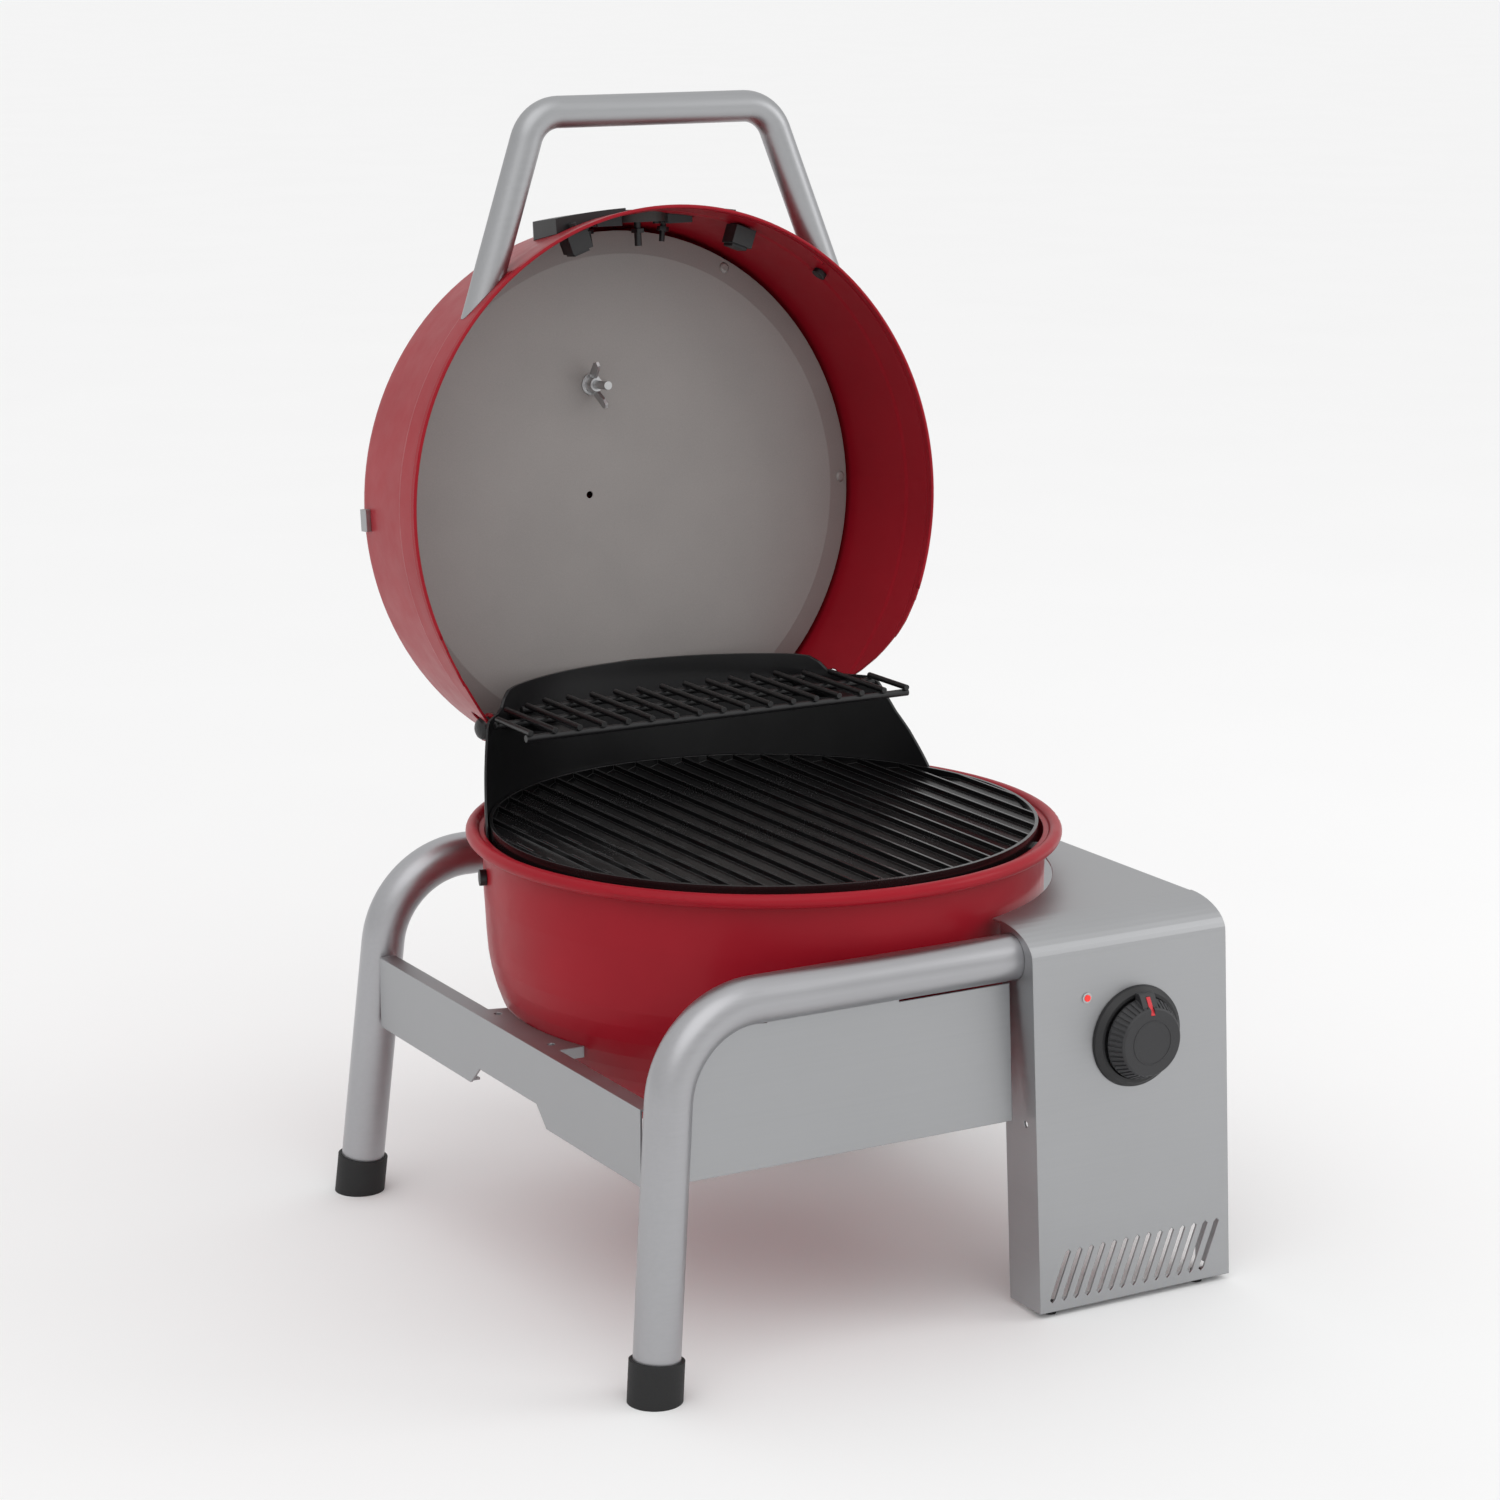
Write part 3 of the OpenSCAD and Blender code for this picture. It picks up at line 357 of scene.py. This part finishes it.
def lid_hem():
    """The rolled edge round the lid's opening, down to where the rear is cut back."""
    radius, wire, depth = 201.6 * MM, 1.2 * MM, 0.6 * MM
    first, sweep_angle, steps = -22, 224, 120
    angles = [math.radians(first + sweep_angle * k / steps) for k in range(steps + 1)]
    points = [on_lid(radius * math.cos(a), radius * math.sin(a), depth) for a in angles]
    outward = [ACROSS * math.cos(a) + LID_OUT * math.sin(a) for a in angles]
    bm = bmesh.new()
    sweep(bm, points, outward, wire)
    piece("lid_hem", bm, "lid", "red")


def gauge_print():
    """Tick marks and a band on the thermometer's dial."""
    half_plate = 0.4 * MM
    face = mid("thermometer_dial") + LID_OUT * half_plate
    tick_end, band_out, band_in = 17.6 * MM, 12.4 * MM, 11.2 * MM
    bm = bmesh.new()
    for k in range(28):
        a = math.radians(-135 + 10 * k)
        near, half = (13.6 * MM, 0.45 * MM) if k % 3 == 0 else (15.4 * MM, 0.25 * MM)
        radial = ACROSS * math.sin(a) - LID_IN * math.cos(a)
        beside = LID_OUT.cross(radial)
        outline = ((near, -half), (tick_end, -half), (tick_end, half), (near, half))
        slab(bm, outline, face, radial, beside, 0.12 * MM)
    piece("gauge_ticks", bm, "lid", "print_and_recess_shade", smooth=False)
    bm = bmesh.new()
    turns = [math.radians(15 + 6 * k) for k in range(21)]
    outline = [(band_out * math.sin(a), band_out * math.cos(a)) for a in turns]
    outline += [(band_in * math.sin(a), band_in * math.cos(a)) for a in reversed(turns)]
    slab(bm, outline, face, ACROSS, -LID_IN, 0.1 * MM)
    piece("gauge_band", bm, "lid", "marker", smooth=False)


def knob_ring():
    """The raised ring on the knob's face."""
    radius, wire = 14.5 * MM, 0.35 * MM
    turn = Vector(joints["knob_turn"]["pos_m"])
    centre = Vector((turn.x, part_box("control_knob")[0].y, turn.z))
    angles = [math.tau * k / 72 for k in range(72)]
    outward = [ACROSS * math.cos(a) + UP * math.sin(a) for a in angles]
    bm = bmesh.new()
    sweep(bm, [centre + o * radius for o in outward], outward, wire, sides=10, closed=True)
    piece("knob_ring", bm, "knob", "knob")


def inlet_pins():
    """Three blades inside the appliance inlet."""
    lo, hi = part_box("power_inlet")
    centre = (lo + hi) / 2
    root, length = lo.y + 8 * MM, 13 * MM
    half, tall, nose = 1.0 * MM, 2.0 * MM, 0.5 * MM   # half width, half height and corner bevel
    outline = ((-half, -tall + nose), (-half + nose, -tall), (half - nose, -tall), (half, -tall + nose),
               (half, tall - nose), (half - nose, tall), (-half + nose, tall), (-half, tall - nose))
    bm = bmesh.new()
    for dx, dz in ((-7, -1.5), (7, -1.5), (0, 2.5)):
        at = Vector((centre.x + dx * MM, root, centre.z + dz * MM))
        slab(bm, outline, at, -ACROSS, UP, length)
    piece("inlet_pins", bm, "stand", "zinc", smooth=False)


def screw_recess_shade():
    """Dark crosses in the heads of the inlet's screws: painted shade standing in for their cross recesses.
    """
    lo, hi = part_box("inlet_screws")
    arm, half = 2.1 * MM, 0.45 * MM
    cross = ((-arm, -half), (-half, -half), (-half, -arm), (half, -arm), (half, -half), (arm, -half),
             (arm, half), (half, half), (half, arm), (-half, arm), (-half, half), (-arm, half))
    head, sunk, tall = 3.25 * MM, 0.5 * MM, 0.54 * MM
    bm = bmesh.new()
    for x in (lo.x + head, hi.x - head):
        at = Vector((x, hi.y - sunk, (lo.z + hi.z) / 2))
        # a dark cross, painted shade where each recess would be
        slab(bm, cross, at, -ACROSS, UP, tall)
    piece("screw_recess_shade", bm, "stand", "print_and_recess_shade", smooth=False)


lid_hem()
gauge_print()
knob_ring()
inlet_pins()
screw_recess_shade()

# ---------- stage ----------

ground = bpy.data.meshes.new("floor")
bm = bmesh.new()
reach = 400.0   # far enough that no view sees its edge
bm.faces.new([bm.verts.new(p) for p in
              ((-reach, -reach, 0), (reach, -reach, 0), (reach, reach, 0), (-reach, reach, 0))])
bm.to_mesh(ground)
bm.free()
floor = bpy.data.objects.new("floor", ground)
bpy.context.collection.objects.link(floor)
pale = Nodes("pale floor")
pale.colour(pale.mix(pale.noise(3, 2), (0.90, 0.90, 0.90), (0.92, 0.92, 0.92)))
pale.fix(Roughness=1.0, Specular_IOR_Level=0.0)
ground.materials.append(pale.mat)

# an even studio: a pale dome that is brighter overhead, and soft lamps
world = bpy.data.worlds.new("studio")
bpy.context.scene.world = world
world.use_nodes = True
tree = world.node_tree
coord = tree.nodes.new("ShaderNodeTexCoord")
split = tree.nodes.new("ShaderNodeSeparateXYZ")
ramp = tree.nodes.new("ShaderNodeMapRange")
for key, value in (("From Min", -0.1), ("From Max", 0.9), ("To Min", 0.72), ("To Max", 0.90)):
    ramp.inputs[key].default_value = value
tree.links.new(coord.outputs["Generated"], split.inputs[0])
tree.links.new(split.outputs["Z"], ramp.inputs["Value"])
tree.links.new(ramp.outputs[0], tree.nodes["Background"].inputs["Strength"])
tree.nodes["Background"].inputs["Color"].default_value = (1, 1, 1, 1)


def lamp(name, kind, where, at, energy, size):
    data = bpy.data.lights.new(name, kind)
    data.energy = energy
    if kind == "SUN":
        data.angle = size
    else:
        data.size = size
    o = bpy.data.objects.new(name, data)
    bpy.context.collection.objects.link(o)
    o.location = where
    o.rotation_mode = "QUATERNION"
    o.rotation_quaternion = (Vector(at) - Vector(where)).to_track_quat("-Z", "Y")


aim = (0, 0, 0.35)
lamp("sun", "SUN", (-1.0, -1.6, 3.0), aim, 0.55, math.radians(60))
lamp("side", "AREA", (2.4, -1.4, 1.6), aim, 12, 1.4)

# ---------- camera ----------

bowl_mid = mid("bowl")
azimuth, elevation = math.radians(-29.80), math.radians(12.99)
camera = bpy.data.objects.new("camera", bpy.data.cameras.new("camera"))
bpy.context.collection.objects.link(camera)
bpy.context.scene.camera = camera
sensor, focal = 36, 2.5048   # in millimetres, and in frame widths
camera.data.sensor_width = sensor
camera.data.lens = focal * sensor
camera.location = (bowl_mid.x - 1.2256, bowl_mid.y - 2.1214, 0.9070)
back_dir = Vector((math.sin(azimuth) * math.cos(elevation),
                   -math.cos(azimuth) * math.cos(elevation), math.sin(elevation)))
camera.rotation_mode = "QUATERNION"
camera.rotation_quaternion = (-back_dir).to_track_quat("-Z", "Y")
camera.data.clip_start, camera.data.clip_end = 0.05, 100
bpy.context.scene.view_settings.view_transform = "Standard"
